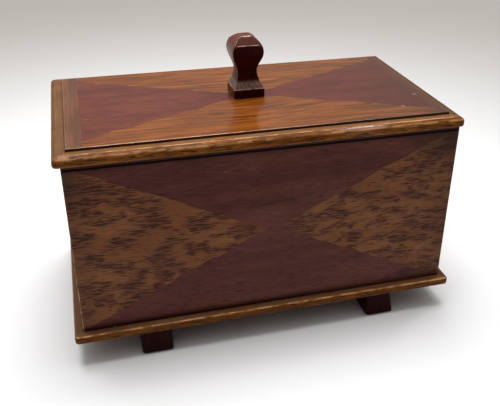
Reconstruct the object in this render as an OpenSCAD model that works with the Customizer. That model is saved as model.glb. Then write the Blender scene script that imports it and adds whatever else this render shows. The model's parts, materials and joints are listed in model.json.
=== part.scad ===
// Decorative wooden box with a lift-off lid, a square knob and four block feet.
// Sawn veneers meet in a crossed pattern on the four walls and on the raised panel of the lid.
// Sizes are in millimetres. The front looks towards -Y, and the origin is on the ground
// under the middle of the base.

/* [Body] */
// Width of the body across the veneer of its two ends
body_w = 244; // [180:1:320]
// Depth of the body across the veneer of its front and back
body_d = 133; // [100:1:180]
// Height of the four walls
wall_h = 113.5; // [70:0.5:160]
// Thickness of the wall boards under their veneer
board_t = 8; // [7:0.5:12]
// Depth of the rebates in the front and back boards, which hold the end boards
rebate_d = 5; // [2:0.5:6]

/* [Veneer] */
// Thickness of the sawn veneers on the walls and on the lid
veneer_t = 1.6; // [0.8:0.1:2.5]
// Length of the level joint between the two points of a wall's pattern
point_gap = 6; // [1:0.5:16]
// How far the lower left joint of a wall's pattern bows upwards
wall_bow = 1.4; // [0:0.1:3]
// How far the front left joint of the lid's pattern bows backwards
lid_bow = 2.2; // [0:0.1:3]
// Distance from a corner of the lid's pattern to the start of the joint there
lid_joint_drop = 9; // [2:0.5:20]
// Width of the band across the left end of the lid's panel
left_band_w = 9.5; // [4:0.5:16]
// Width of the band across the right end of the lid's panel
right_band_w = 5.5; // [4:0.5:16]

/* [Base] */
// How far the base stands out from the body all round
base_over = 5.5; // [3:0.1:9]
// Thickness of the base
base_t = 5.8; // [4.8:0.1:9]
// Radius of the upper edge of the base
base_top_r = 1.2; // [0.5:0.1:3]
// Radius of the lower edge of the base
base_bottom_r = 1.8; // [0.5:0.1:1.8]
// Radius of the corners of the base and of the lid, seen from above
corner_r = 2.5; // [1:0.1:4]

/* [Feet] */
// Height of the feet
foot_h = 17; // [10:0.5:30]
// Width and depth of a foot at its sole
foot_w = 20; // [14:0.5:24]
// How far the two outer faces of a foot lean out over its height
foot_lean = 2.4; // [0:0.1:4]
// Distance from the end of the base to the outer face of a foot
foot_inset = 40.2; // [12:0.2:55]
// Bevel round the sole of a foot
foot_bevel = 1.1; // [0.3:0.1:2]

/* [Lid] */
// How far the lid stands out from the body all round
lid_over = 3; // [1.5:0.1:8]
// Thickness of the lid board
lid_t = 6.6; // [6.2:0.1:10]
// Width of the bevel along the upper edge of the lid board
lid_bevel_w = 3; // [0.5:0.1:4.5]
// Height of that bevel
lid_bevel_h = 1.5; // [0.3:0.1:2.4]
// Radius of the lower edge of the lid board
lid_bottom_r = 1.8; // [0.5:0.1:2]
// Width of the moulded margin around the raised panel
panel_inset = 8; // [5:0.5:14]
// Width of the strips under the lid, which locate it in the body
strip_w = 8; // [5:0.5:14]
// Height of the strips under the lid
strip_h = 5; // [3:0.5:12]
// Gap between the strips and the walls with the lid in the middle
lid_clear = 1.5; // [0.5:0.1:3]
// Where the loose lid lies in that gap: 0 in the middle, 1 hard over to the left
lid_lie = 0.8; // [-1:0.1:1]

/* [Knob] */
// Width and depth of the knob at its foot and at its head
knob_w = 20.5; // [16:0.5:30]
// Height of the knob
knob_h = 39.7; // [34:0.1:60]
// Height of the square block at the knob's foot
block_h = 6; // [4:0.5:10]
// Height of the slope from the block in to the neck
slope_h = 4.2; // [2:0.2:6]
// Width and depth of the neck at its narrowest
neck_w = 13.2; // [10:0.2:15]
// How much wider than that the neck is at the top of the slope
neck_taper = 1.2; // [0:0.1:1.6]
// Height of the head above its widest part
head_h = 9.9; // [8:0.1:16]
// Height of the leaning facets at the front and back of the head
facet_h = 4.9; // [3:0.1:7.5]
// Depth of the flat crown on top of the head
crown_d = 9; // [3:0.5:12]
// Width of that crown
crown_w = 6.2; // [2:0.2:10]
// How far the knob stands to the right of the middle of the lid
knob_right = 1; // [-5:0.5:5]
// How far the knob stands behind the middle of the lid
knob_back = 3; // [-5:0.5:5]

/* [Screws] */
// Diameter of the shanks of the wood screws
screw_d = 3.5; // [2.5:0.1:4]
// Diameter of the countersunk heads of the wood screws
head_d = 7; // [5.5:0.1:8]
// Depth of the recess under the head of a foot's screw
foot_recess = 3; // [1:0.5:6]
// How deep a foot's screw goes into the wall board above it
foot_screw_grip = 12.2; // [8:0.2:20]
// How deep a base screw goes into the wall board above it
base_screw_grip = 13.2; // [8:0.2:24]
// Distance from the face of the front or back to the base screws in the ends
base_screw_in = 35; // [22:1:45]
// How deep the knob's screw goes into the knob
knob_screw_grip = 16.8; // [10:0.2:22]

/* [Hidden] */
$fn = 64;

// Colours of the woods and of the screws
golden_wood = "#9a6b35";
flecked_wood = "#a8702f";
orange_wood = "#a85f28";
band_wood = "#9c7448";
red_wood = "#5a2a24";
dark_wood = "#3a1714";
plain_wood = "#b98d58";
steel = "#8f9092";

// Overcut that takes a hole or a cut clean through a face
cut = 0.5;
// Straight pieces that draw a bowed joint, and each curve of the knob
joint_steps = 8;
curve_steps = 14;

// Levels from the ground up
base_z = foot_h;
wall_z = base_z + base_t;
lid_z = wall_z + wall_h;
panel_z = lid_z + lid_t;
knob_z = panel_z + veneer_t;

// Plan sizes that follow from the body
base_w = body_w + 2 * base_over;
base_d = body_d + 2 * base_over;
case_w = body_w - 2 * veneer_t;
case_d = body_d - 2 * veneer_t;
inside_w = case_w - 2 * board_t;
inside_d = case_d - 2 * board_t;
end_board_l = inside_d + 2 * rebate_d;
lid_w = body_w + 2 * lid_over;
lid_d = body_d + 2 * lid_over;
panel_w = lid_w - 2 * panel_inset;
panel_d = lid_d - 2 * panel_inset;
field_w = panel_w - left_band_w - right_band_w;
strip_frame_w = inside_w - 2 * lid_clear;
strip_frame_d = inside_d - 2 * lid_clear;

// Middle lines of the wall boards, which the screws and the feet follow
wall_x = (case_w - board_t) / 2;
wall_y = (case_d - board_t) / 2;
foot_x = (base_w - foot_w) / 2 - foot_inset;
base_screw_y = body_d / 2 - base_screw_in;

// Middle of the lid, of its knob and of the crossed pattern between its bands
lid_x = -lid_lie * lid_clear;
knob_x = lid_x + knob_right;
knob_y = knob_back;
field_x = lid_x + (left_band_w - right_band_w) / 2;

// Wood screws: head, slot, tip, and their lengths from the top of the head
screw_head_h = (head_d - screw_d) / 2;
slot_w = 0.9;
slot_h = 0.8;
tip_h = 3;
foot_screw_l = foot_h - foot_recess + base_t + foot_screw_grip;
base_screw_l = base_t + base_screw_grip;
knob_screw_l = lid_t + veneer_t + knob_screw_grip;

// Smooth step from 0 to 1 that starts and ends level
function ease(t) = (1 - cos(180 * t)) / 2;

function backwards(pts) = [for (i = [len(pts) - 1 : -1 : 0]) pts[i]];

// Leaves out each point that repeats the one before it
function no_repeats(pts) =
    [for (i = [0 : len(pts) - 1]) if (i == 0 || norm(pts[i] - pts[i - 1]) > 0.001) pts[i]];

// Points from a to b along a line that bows sideways by bow
function bowed(a, b, bow) =
    let(d = b - a, side = [-d[1], d[0]] / norm(d), steps = bow == 0 ? 1 : joint_steps)
    [for (i = [0 : steps]) a + i / steps * d + bow * sin(180 * i / steps) * side];

// Joint of a crossed pattern of size s, from its side edge in to a point. sx is -1 for the
// left and 1 for the right, and sy is -1 for the lower half and 1 for the upper half.
// drop moves the outer end along the side edge, and gap keeps the two points apart.
function joint(s, drop, gap, bow, sx, sy) =
    bowed([sx * s[0] / 2, sy * (s[1] / 2 - drop)], [sx * gap / 2, 0],
          sx < 0 && sy < 0 ? bow : 0);

// Piece of the pattern that points in from the left or the right
module side_piece(s, drop, gap, bow, sx)
    polygon(no_repeats(concat(joint(s, drop, gap, bow, sx, 1),
                              backwards(joint(s, drop, gap, bow, sx, -1)))));

// Piece of the pattern along its upper or lower edge
module level_piece(s, drop, gap, bow, sy)
    polygon(no_repeats(concat([[-s[0] / 2, sy * s[1] / 2]],
                              joint(s, drop, gap, bow, -1, sy),
                              backwards(joint(s, drop, gap, bow, 1, sy)),
                              [[s[0] / 2, sy * s[1] / 2]])));

// Stands a flat piece up as veneer on the wall that is turned round from the front by turn
module on_wall(turn, reach)
    rotate([0, 0, turn]) translate([0, veneer_t - reach, wall_z + wall_h / 2])
        rotate([90, 0, 0]) linear_extrude(veneer_t) children();

// Lower part of a board w wide and h high, seen end on, with round lower corners
module lower_edge(w, h, r) {
    translate([r - w / 2, 0]) square([w - 2 * r, h]);
    translate([-w / 2, r]) square([w, h - r]);
    for (sx = [-1, 1]) translate([sx * (w / 2 - r), r]) circle(r);
}

// Base seen end on: round corners above and below
module base_outline(w) {
    lower_edge(w, base_t - base_top_r, base_bottom_r);
    translate([base_top_r - w / 2, 0]) square([w - 2 * base_top_r, base_t]);
    for (sx = [-1, 1]) translate([sx * (w / 2 - base_top_r), base_t - base_top_r]) circle(base_top_r);
}

// Lid board seen end on: a bevel above and round corners below
module lid_outline(w) {
    lower_edge(w, lid_t - lid_bevel_h, lid_bottom_r);
    polygon([[-w / 2, lid_t - lid_bevel_h], [lid_bevel_w - w / 2, lid_t],
             [w / 2 - lid_bevel_w, lid_t], [w / 2, lid_t - lid_bevel_h]]);
}

// Board w wide, d deep and t high with round corners in plan. Its children are its outline
// seen from the front and its outline seen from an end.
module moulded_board(w, d, t)
    intersection() {
        translate([0, d / 2, 0]) rotate([90, 0, 0]) linear_extrude(d) children(0);
        rotate([0, 0, 90]) translate([0, w / 2, 0]) rotate([90, 0, 0]) linear_extrude(w) children(1);
        linear_extrude(t) {
            square([w - 2 * corner_r, d], center = true);
            square([w, d - 2 * corner_r], center = true);
            for (sx = [-1, 1], sy = [-1, 1])
                translate([sx * (w / 2 - corner_r), sy * (d / 2 - corner_r)]) circle(corner_r);
        }
    }

// Countersunk wood screw that points up, with the top of its head at z = 0
module wood_screw(l)
    difference() {
        union() {
            cylinder(h = screw_head_h, d1 = head_d, d2 = screw_d);
            translate([0, 0, screw_head_h]) cylinder(h = l - screw_head_h - tip_h, d = screw_d);
            translate([0, 0, l - tip_h]) cylinder(h = tip_h, d1 = screw_d, d2 = screw_d / 4);
        }
        translate([-head_d, -slot_w / 2, -cut]) cube([2 * head_d, slot_w, slot_h + cut]);
    }

// Room for a wood screw, and for its head to pass below z = 0
module screw_hole(l, below = cut) {
    translate([0, 0, -below]) cylinder(h = below, d = head_d);
    cylinder(h = screw_head_h, d1 = head_d, d2 = screw_d);
    translate([0, 0, screw_head_h]) cylinder(h = l - screw_head_h, d = screw_d);
}

// Places of the screws in the feet, in the base and in the knob
module at_foot_screws()
    for (sx = [-1, 1], sy = [-1, 1]) translate([sx * foot_x, sy * wall_y, foot_recess]) children();

module at_base_screws() {
    for (sx = [-1, 1], sy = [-1, 1])
        translate([sx * wall_x, sy * base_screw_y, base_z]) children();
    for (sy = [-1, 1]) translate([0, sy * wall_y, base_z]) children();
}

module at_knob_screw() translate([knob_x, knob_y, lid_z]) children();

module body_screw_holes() {
    at_foot_screws() screw_hole(foot_screw_l, foot_recess + cut);
    at_base_screws() screw_hole(base_screw_l);
}

// Foot seen end on: an upright inner face, a leaning outer face and a bevelled sole
module foot_outline()
    polygon([[-foot_w / 2, foot_bevel], [foot_bevel - foot_w / 2, 0],
             [foot_w / 2 - foot_bevel, 0], [foot_w / 2, foot_bevel],
             [foot_w / 2 - foot_lean, foot_h], [-foot_w / 2, foot_h]]);

// One foot, with its outer faces towards the corner that sx and sy name
module foot(sx, sy)
    color(dark_wood) difference() {
        translate([sx * foot_x, sy * wall_y, 0]) intersection() {
            translate([0, foot_w / 2, 0]) rotate([90, 0, 0]) linear_extrude(foot_w)
                mirror([sx < 0 ? 1 : 0, 0]) foot_outline();
            rotate([0, 0, 90]) translate([0, foot_w / 2, 0]) rotate([90, 0, 0])
                linear_extrude(foot_w) mirror([sy < 0 ? 1 : 0, 0]) foot_outline();
        }
        at_foot_screws() screw_hole(foot_screw_l, foot_recess + cut);
    }

module foot_screws() color(steel) at_foot_screws() wood_screw(foot_screw_l);

module base_board()
    color(golden_wood) difference() {
        translate([0, 0, base_z]) moulded_board(base_w, base_d, base_t) {
            base_outline(base_w);
            base_outline(base_d);
        }
        body_screw_holes();
    }

module base_screws() color(steel) at_base_screws() wood_screw(base_screw_l);

// Front board (sy = -1) or back board (sy = 1), with a rebate for the board at each end
module long_board(sy)
    color(plain_wood) difference() {
        translate([0, sy * wall_y, wall_z + wall_h / 2])
            cube([case_w, board_t, wall_h], center = true);
        for (sx = [-1, 1]) translate([sx * (wall_x + cut), 0, wall_z + wall_h / 2])
            cube([board_t + 2 * cut, end_board_l, wall_h + 2 * cut], center = true);
        body_screw_holes();
    }

// Left (sx = -1) or right (sx = 1) end board
module end_board(sx)
    color(plain_wood) difference() {
        translate([sx * wall_x, 0, wall_z + wall_h / 2])
            cube([board_t, end_board_l, wall_h], center = true);
        at_base_screws() screw_hole(base_screw_l);
    }

// Veneers of the front (turn = 0) and of the back (turn = 180)
module long_wall_side(turn, sx)
    color(flecked_wood) on_wall(turn, body_d / 2)
        side_piece([body_w, wall_h], 0, point_gap, wall_bow, sx);

module long_wall_level(turn, sy)
    color(red_wood) on_wall(turn, body_d / 2)
        level_piece([body_w, wall_h], 0, point_gap, wall_bow, sy);

// Veneers of the left end (turn = -90) and of the right end (turn = 90)
module end_wall_side(turn, sx)
    color(flecked_wood) on_wall(turn, body_w / 2)
        side_piece([case_d, wall_h], 0, point_gap, wall_bow, sx);

module end_wall_level(turn, sy)
    color(red_wood) on_wall(turn, body_w / 2)
        level_piece([case_d, wall_h], 0, point_gap, wall_bow, sy);

module lid_board()
    color(golden_wood) difference() {
        translate([lid_x, 0, lid_z]) moulded_board(lid_w, lid_d, lid_t) {
            lid_outline(lid_w);
            lid_outline(lid_d);
        }
        at_knob_screw() screw_hole(knob_screw_l);
    }

// Lays a flat piece on the lid board at x, with the hole of the knob's screw through it
module on_lid(x)
    difference() {
        translate([x, 0, panel_z]) linear_extrude(veneer_t) children();
        at_knob_screw() screw_hole(knob_screw_l);
    }

module lid_side_veneer(sx)
    color(red_wood) on_lid(field_x)
        side_piece([field_w, panel_d], lid_joint_drop, 0, lid_bow, sx);

module lid_level_veneer(sy)
    color(orange_wood) on_lid(field_x)
        level_piece([field_w, panel_d], lid_joint_drop, 0, lid_bow, sy);

module lid_band(sx, w)
    color(band_wood) on_lid(lid_x + sx * (panel_w - w) / 2)
        square([w, panel_d], center = true);

// Strips under the lid: the front and back ones run through, the others fit between them
module long_strip(sy)
    color(plain_wood)
        translate([lid_x, sy * (strip_frame_d - strip_w) / 2, lid_z - strip_h / 2])
            cube([strip_frame_w, strip_w, strip_h], center = true);

module short_strip(sx)
    color(plain_wood)
        translate([lid_x + sx * (strip_frame_w - strip_w) / 2, 0, lid_z - strip_h / 2])
            cube([strip_w, strip_frame_d - 2 * strip_w, strip_h], center = true);

// Right half of the knob's outline up to its widest part: block, slope, neck and swell
slope_z = block_h + slope_h;
head_z = knob_h - head_h;
neck_z = (slope_z + head_z) / 2;
knob_stem = concat(
    [[knob_w / 2, 0], [knob_w / 2, block_h]],
    [for (i = [0 : curve_steps]) let(t = i / curve_steps)
        [neck_w / 2 + (1 - sin(90 * t)) * neck_taper / 2, slope_z + t * (neck_z - slope_z)]],
    [for (i = [1 : curve_steps]) let(t = i / curve_steps)
        [neck_w / 2 + ease(t) * (knob_w - neck_w) / 2, neck_z + t * (head_z - neck_z)]]);

// Top of that half up to the crown: a dome seen from the front, a facet seen from the side
crown_a = acos(crown_w / knob_w);
dome = [for (i = [1 : curve_steps]) let(a = crown_a * i / curve_steps)
    [knob_w / 2 * cos(a), head_z + head_h * sin(a) / sin(crown_a)]];
facet = [[knob_w / 2, knob_h - facet_h], [crown_d / 2, knob_h]];

// Prism as deep as the knob, whose section is a half outline and its mirror image
module knob_prism(half)
    translate([0, knob_w / 2, 0]) rotate([90, 0, 0]) linear_extrude(knob_w)
        polygon(no_repeats(concat(half, [for (p = backwards(half)) [-p[0], p[1]]])));

module knob()
    color(dark_wood) difference() {
        translate([knob_x, knob_y, knob_z]) intersection() {
            knob_prism(concat(knob_stem, dome));
            rotate([0, 0, 90]) knob_prism(concat(knob_stem, facet));
        }
        at_knob_screw() screw_hole(knob_screw_l);
    }

module knob_screw() color(steel) at_knob_screw() wood_screw(knob_screw_l);

foot(-1, -1);  // foot_front_left
foot(1, -1);  // foot_front_right
foot(-1, 1);  // foot_back_left
foot(1, 1);  // foot_back_right
foot_screws();
base_board();
base_screws();
long_board(-1);  // front_board
long_board(1);  // back_board
end_board(-1);  // left_end_board
end_board(1);  // right_end_board
long_wall_level(0, 1);  // front_upper_veneer
long_wall_level(0, -1);  // front_lower_veneer
long_wall_side(0, -1);  // front_left_veneer
long_wall_side(0, 1);  // front_right_veneer
long_wall_level(180, 1);  // back_upper_veneer
long_wall_level(180, -1);  // back_lower_veneer
long_wall_side(180, 1);  // back_left_veneer
long_wall_side(180, -1);  // back_right_veneer
end_wall_level(-90, 1);  // left_end_upper_veneer
end_wall_level(-90, -1);  // left_end_lower_veneer
end_wall_side(-90, 1);  // left_end_front_veneer
end_wall_side(-90, -1);  // left_end_back_veneer
end_wall_level(90, 1);  // right_end_upper_veneer
end_wall_level(90, -1);  // right_end_lower_veneer
end_wall_side(90, -1);  // right_end_front_veneer
end_wall_side(90, 1);  // right_end_back_veneer
lid_board();
lid_side_veneer(-1);  // lid_left_veneer
lid_side_veneer(1);  // lid_right_veneer
lid_level_veneer(-1);  // lid_front_veneer
lid_level_veneer(1);  // lid_back_veneer
lid_band(-1, left_band_w);  // lid_left_band
lid_band(1, right_band_w);  // lid_right_band
long_strip(-1);  // lid_strip_front
long_strip(1);  // lid_strip_back
short_strip(-1);  // lid_strip_left
short_strip(1);  // lid_strip_right
knob();
knob_screw();
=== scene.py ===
import json
import math
import random

import bmesh
import bpy
from mathutils import Euler, Matrix, Vector, noise

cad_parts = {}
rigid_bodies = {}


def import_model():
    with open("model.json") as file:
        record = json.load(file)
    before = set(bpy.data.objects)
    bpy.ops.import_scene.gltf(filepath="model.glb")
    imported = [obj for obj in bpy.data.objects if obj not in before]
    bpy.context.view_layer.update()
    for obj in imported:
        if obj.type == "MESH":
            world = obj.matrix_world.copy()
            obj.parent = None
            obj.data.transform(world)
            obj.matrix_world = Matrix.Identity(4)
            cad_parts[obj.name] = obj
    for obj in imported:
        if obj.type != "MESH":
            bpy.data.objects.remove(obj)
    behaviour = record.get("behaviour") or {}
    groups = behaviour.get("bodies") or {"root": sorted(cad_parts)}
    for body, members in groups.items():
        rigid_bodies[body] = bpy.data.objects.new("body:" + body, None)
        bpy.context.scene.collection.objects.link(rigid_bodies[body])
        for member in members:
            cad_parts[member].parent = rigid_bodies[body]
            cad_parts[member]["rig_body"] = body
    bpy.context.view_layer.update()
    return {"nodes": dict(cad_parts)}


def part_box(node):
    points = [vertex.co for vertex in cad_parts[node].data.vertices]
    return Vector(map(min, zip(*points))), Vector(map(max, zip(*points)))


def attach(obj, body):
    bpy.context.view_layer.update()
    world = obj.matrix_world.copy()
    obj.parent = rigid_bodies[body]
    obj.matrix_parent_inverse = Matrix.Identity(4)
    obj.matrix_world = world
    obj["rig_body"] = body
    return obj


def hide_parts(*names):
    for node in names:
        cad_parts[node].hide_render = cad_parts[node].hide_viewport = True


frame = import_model()

# Places and sizes below are in millimetres, and turned into metres where a thing is made.
MM = 0.001


def corners(*nodes):
    """Lowest and highest corner of some CAD nodes together, in millimetres."""
    boxes = [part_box(n) for n in nodes]
    low = [min(b[0][i] for b in boxes) / MM for i in range(3)]
    high = [max(b[1][i] for b in boxes) / MM for i in range(3)]
    return Vector(low), Vector(high)


base_lo, base_hi = corners("base_board")
wall_lo, wall_hi = corners("front_left_veneer", "back_right_veneer")
lid_lo, lid_hi = corners("lid_board")
panel_lo, panel_hi = corners("lid_left_band", "lid_right_band")
knob_lo, knob_hi = corners("knob")
LID_X = (lid_lo.x + lid_hi.x) / 2
KNOB_X, KNOB_Y = (knob_lo.x + knob_hi.x) / 2, (knob_lo.y + knob_hi.y) / 2


def limited(value, low=0.0, high=1.0):
    """The value, kept between low and high."""
    return min(max(value, low), high)


def portions(count):
    """The fractions 1 / count, 2 / count and so on up to 1."""
    return [i / count for i in range(1, count + 1)]


# Node trees


class Tree:
    """Shader nodes of a material or world. Each method but add returns a new node's output."""

    def __init__(self, owner):
        owner.use_nodes = True
        self.tree = owner.node_tree
        self.tree.nodes.clear()

    def add(self, kind, inputs=None, **settings):
        node = self.tree.nodes.new("ShaderNode" + kind)
        for key, value in settings.items():
            setattr(node, key, value)
        for key, value in (inputs or {}).items():
            if isinstance(value, bpy.types.NodeSocket):
                self.tree.links.new(value, node.inputs[key])
            else:
                node.inputs[key].default_value = value
        return node

    def math(self, operation, *values):
        return self.add("Math", dict(enumerate(values)), operation=operation).outputs[0]

    def times(self, a, b):
        return self.math("MULTIPLY", a, b)

    def plus(self, a, b):
        return self.math("ADD", a, b)

    def minus(self, a, b):
        return self.math("SUBTRACT", a, b)

    def larger(self, a, b):
        return self.math("MAXIMUM", a, b)

    def step(self, value, start, end, low=0.0, high=1.0):
        """Smooth step from low to high as value goes from start to end."""
        inputs = dict(enumerate((value, start, end, low, high)))
        return self.add("MapRange", inputs, interpolation_type="SMOOTHSTEP").outputs[0]

    def split(self, vector):
        return self.add("SeparateXYZ", {0: vector}).outputs[:3]


class Look(Tree):
    """One procedural material. colour is the colour so far."""

    def __init__(self, name):
        self.mat = bpy.data.materials.new(name)
        super().__init__(self.mat)
        coords = self.add("TexCoord").outputs["Object"]
        self.place = self.vec("SCALE", coords, scale=1 / MM)
        self.x, self.y, self.z = self.split(self.place)

    def vec(self, operation, *values, scale=None):
        inputs = dict(enumerate(values))
        if scale is not None:
            inputs["Scale"] = scale
        node = self.add("VectorMath", inputs, operation=operation)
        return node.outputs["Value" if operation == "LENGTH" else "Vector"]

    def noise(self, size, detail=2.0, rough=0.5, warp=0.0, vector=None):
        """Noise whose features are about size millimetres long in x, y and z."""
        stretched = self.vec("DIVIDE", vector or self.place, size)
        node = self.add("TexNoise", {"Vector": stretched, "Scale": 1.0, "Detail": detail,
                                     "Roughness": rough, "Distortion": warp})
        return node.outputs["Fac"]

    def line(self, value, at, half):
        """1 where value is at, and 0 beyond half away from it."""
        away = self.math("ABSOLUTE", self.minus(value, at))
        return self.step(away, 0.0, half, 1.0, 0.0)

    def flow(self, size, drift):
        """Place with a slow drift of up to drift millimetres, so that the grain isn't ruled."""
        slow = self.add("TexNoise", {"Vector": self.vec("DIVIDE", self.place, size),
                                     "Scale": 1.0, "Detail": 1.0}).outputs["Color"]
        start = self.vec("SUBTRACT", self.place, drift)
        return self.vec("MULTIPLY_ADD", slow, tuple(2 * d for d in drift), start)

    def attribute(self, name):
        return self.add("Attribute", attribute_name=name).outputs["Fac"]

    def mark(self, place, sizes, ragged=0.5):
        """1 in a small spot whose half lengths in x, y and z are sizes, and 0 away from it."""
        away = self.vec("DIVIDE", self.vec("SUBTRACT", self.place, place), sizes)
        uneven = self.times(self.noise((1, 1, 1), 2), ragged)
        reach = self.plus(self.vec("LENGTH", away), uneven)
        return self.step(reach, 1.0 + ragged * 0.5, 0.6)

    def mix(self, factor, a, b, mode="MIX"):
        """Colour between a and b. The Mix node's colours are its sockets 6 and 7, and output 2."""
        node = self.add("Mix", {0: factor, 6: a, 7: b}, data_type="RGBA", blend_type=mode)
        return node.outputs[2]

    def paint(self, factor, colour):
        """Lays a colour over the colour so far."""
        self.colour = self.mix(factor, self.colour, colour)

    def bump(self, height, distance, strength=1.0):
        """Normal of a surface whose relief is distance millimetres deep."""
        inputs = {"Height": height, "Distance": distance * MM, "Strength": strength}
        return self.add("Bump", inputs).outputs["Normal"]

    def shade(self, **sockets):
        """Closes the tree with the main shader and returns the material."""
        inputs = {key.replace("_", " "): value for key, value in sockets.items()}
        shader = self.add("BsdfPrincipled", {"Base Color": self.colour, **inputs})
        self.add("OutputMaterial", {"Surface": shader.outputs["BSDF"]})
        return self.mat


def rgb(red, green, blue):
    """Colour of a shader socket, from display values of 0 to 255."""
    def linear(v):
        v /= 255
        return v / 12.92 if v <= 0.04045 else ((v + 0.055) / 1.055) ** 2.4
    return (linear(red), linear(green), linear(blue), 1.0)


def along(axis, length, across):
    """Size of a grain that runs length millimetres along axis 0 (x) or 1 (y)."""
    size = [across] * 3
    size[axis] = length
    return tuple(size)


def flecked_wood(name, axis):
    """Golden veneer with dark flecks that lie along the grain. The mesh says where they are."""
    k = Look(name)
    dense = k.attribute("flecks")
    grain = k.flow((42, 42, 30), (0.0, 0.0, 1.4))
    tone = k.noise(along(axis, 45, 14), 3, vector=grain)
    k.colour = k.mix(k.step(tone, 0.35, 0.65), rgb(119, 71, 37), rgb(131, 83, 46))
    fibre = k.noise(along(axis, 12, 0.8), 3, 0.6, vector=grain)
    k.paint(k.step(fibre, 0.48, 0.66, 0.0, 0.55), rgb(84, 48, 31))
    k.paint(k.times(dense, 0.3), rgb(92, 52, 37))
    # Two sets of short strokes. The denser the flecks, the more of the strokes show
    elsewhere = k.vec("ADD", grain, (40.0, 40.0, 40.0))
    fine = k.larger(k.noise(along(axis, 10.0, 0.60), 1.0, 0.4, vector=grain),
                    k.noise(along(axis, 7.5, 0.68), 1.0, 0.4, vector=elsewhere))
    threshold = k.minus(0.67, k.times(dense, 0.155))
    fleck = k.step(k.minus(fine, threshold), -0.015, 0.04, 0.0, 0.9)
    k.paint(fleck, rgb(56, 16, 6))
    from_middle = k.math("ABSOLUTE", k.x if axis == 0 else k.y)
    half = wall_hi[axis]
    # Red dust of the other veneer has coloured the thin tips
    tip = k.step(from_middle, 0.25 * half, 0.05 * half, 0.0, 0.45)
    k.paint(tip, rgb(88, 46, 36))
    # Darker towards the body's corners, most of all near the lid: a stain, and painted shade under
    # the lid's edge
    at_corner = k.step(from_middle, half - 20.0, half - 2.0)
    near_lid = k.step(k.minus(wall_hi.z, k.z), 30.0, 8.0, 0.25, 0.7)
    k.paint(k.times(at_corner, near_lid), rgb(48, 26, 19))
    return wall_finish(k, fine)


def wall_finish(k, grain):
    """Satin varnish of the walls, with dirt and painted shade at the foot, painted shade under the
    lid, a few marks and worn upright edges.
    """
    # Dirt and painted shade along the wall's foot, weaker on the right, and painted shade along its
    # top under the lid
    ragged = k.noise((9, 9, 4), 3)
    foot = k.minus(k.plus(k.z, k.times(ragged, -3.0)), wall_lo.z)
    dirt_and_shade = k.times(k.step(foot, 4.2, -1.2), k.step(k.x, 0.0, 50.0, 1.0, 0.7))
    below = k.minus(wall_hi.z, k.z)
    top = k.step(below, 6.5, 2.5, 0.0, 0.6)
    k.paint(k.larger(dirt_and_shade, top), rgb(42, 7, 5))
    # The front's upper right corner is darker, over the joint as well: a stain, and painted shade
    # under the lid's edge
    marks_and_shading = k.mark((wall_hi.x - 10.0, wall_lo.y, wall_hi.z - 4.0), (36.0, 3.0, 23.0), 0.4)
    k.paint(k.times(marks_and_shading, 0.55), rgb(44, 18, 12))
    # A painted shadow line just under the lid's edge
    uneven = k.plus(below, k.times(k.noise((11, 11, 11), 3), 0.8))
    lid_shadow_line = k.times(k.step(uneven, 4.2, 3.4), k.step(uneven, 1.9, 2.6, 0.0, 0.9))
    k.paint(lid_shadow_line, rgb(9, 1, 1))
    # A pale chip at the foot of the front, near its left end
    chip = k.mark((-102.8, wall_lo.y, 22.9), (0.7, 1.0, 0.5), 0.2)
    k.paint(chip, rgb(226, 212, 196))
    # The upright edges are worn pale, most of all in their lower part
    edge = k.times(k.step(k.math("ABSOLUTE", k.x), wall_hi.x - 0.9, wall_hi.x - 0.2),
                   k.step(k.math("ABSOLUTE", k.y), wall_hi.y - 0.9, wall_hi.y - 0.2))
    lower = k.step(k.z, wall_hi.z - 30, wall_lo.z + 20, 0.2, 1.0)
    worn = k.times(k.times(edge, lower), k.step(k.noise((6, 6, 6), 3), 0.35, 0.6))
    k.paint(worn, rgb(186, 142, 104))
    smudge = k.noise((34, 34, 26), 3, 0.6)
    return k.shade(Roughness=k.step(smudge, 0.3, 0.7, 0.36, 0.52),
                   Specular_IOR_Level=k.step(lid_shadow_line, 0.0, 1.0, 0.14, 0.02), Normal=k.bump(grain, 0.03))


def wall_mahogany(name, axis):
    """Dark purple-brown veneer with fine level grain."""
    k = Look(name)
    grain = k.flow((60, 60, 40), (0.0, 0.0, 3.0))
    tone = k.noise(along(axis, 70, 9), 3)
    k.colour = k.mix(k.step(tone, 0.35, 0.65), rgb(81, 35, 27), rgb(99, 51, 39))
    # Each wall is paler halfway up
    middle = k.math("ABSOLUTE", k.minus(k.z, 0.5 * (wall_lo.z + wall_hi.z)))
    k.paint(k.step(middle, 18.0, 4.0, 0.0, 0.3), rgb(118, 70, 60))
    # The lower pieces are paler
    k.paint(k.step(k.z, wall_lo.z + 48, wall_lo.z + 12, 0.0, 0.3), rgb(106, 62, 54))
    streaks = k.noise(along(axis, 9, 0.5), 4, 0.62, vector=grain)
    k.paint(k.step(streaks, 0.46, 0.64, 0.0, 0.75), rgb(44, 15, 14))
    pale = k.step(k.noise(along(axis, 12, 0.5), 3, 0.6, vector=grain), 0.55, 0.70, 0.0, 0.5)
    k.paint(pale, rgb(120, 70, 52))
    if axis == 0:
        # A purple stain near the foot of the front, and one dark streak that climbs to the right
        stain = k.mark((96.0, wall_lo.y, wall_lo.z + 7.0), (11.0, 2.0, 4.5), 0.9)
        k.paint(k.times(stain, 0.6), rgb(38, 22, 30))
        height = k.minus(k.z, k.times(k.x, 0.09))
        height = k.plus(height, k.times(k.noise((7, 7, 7), 2), 1.4))
        streak = k.line(height, wall_lo.z + 75.6, 0.7)
        streak = k.times(streak, k.line(k.x, 0.0, 26.0))
        streak = k.times(streak, k.step(k.y, wall_lo.y + 3, wall_lo.y + 2, 0.0, 0.8))
        k.paint(streak, rgb(34, 12, 12))
    return wall_finish(k, streaks)


# Pale marks on the lid's panel, as (x, y, half width, half depth)
LID_MARKS = ((108.8, -26.3, 1.9, 1.6), (91.7, -45.3, 2.0, 1.2), (-105.5, -20.0, 2.8, 0.35))


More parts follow.
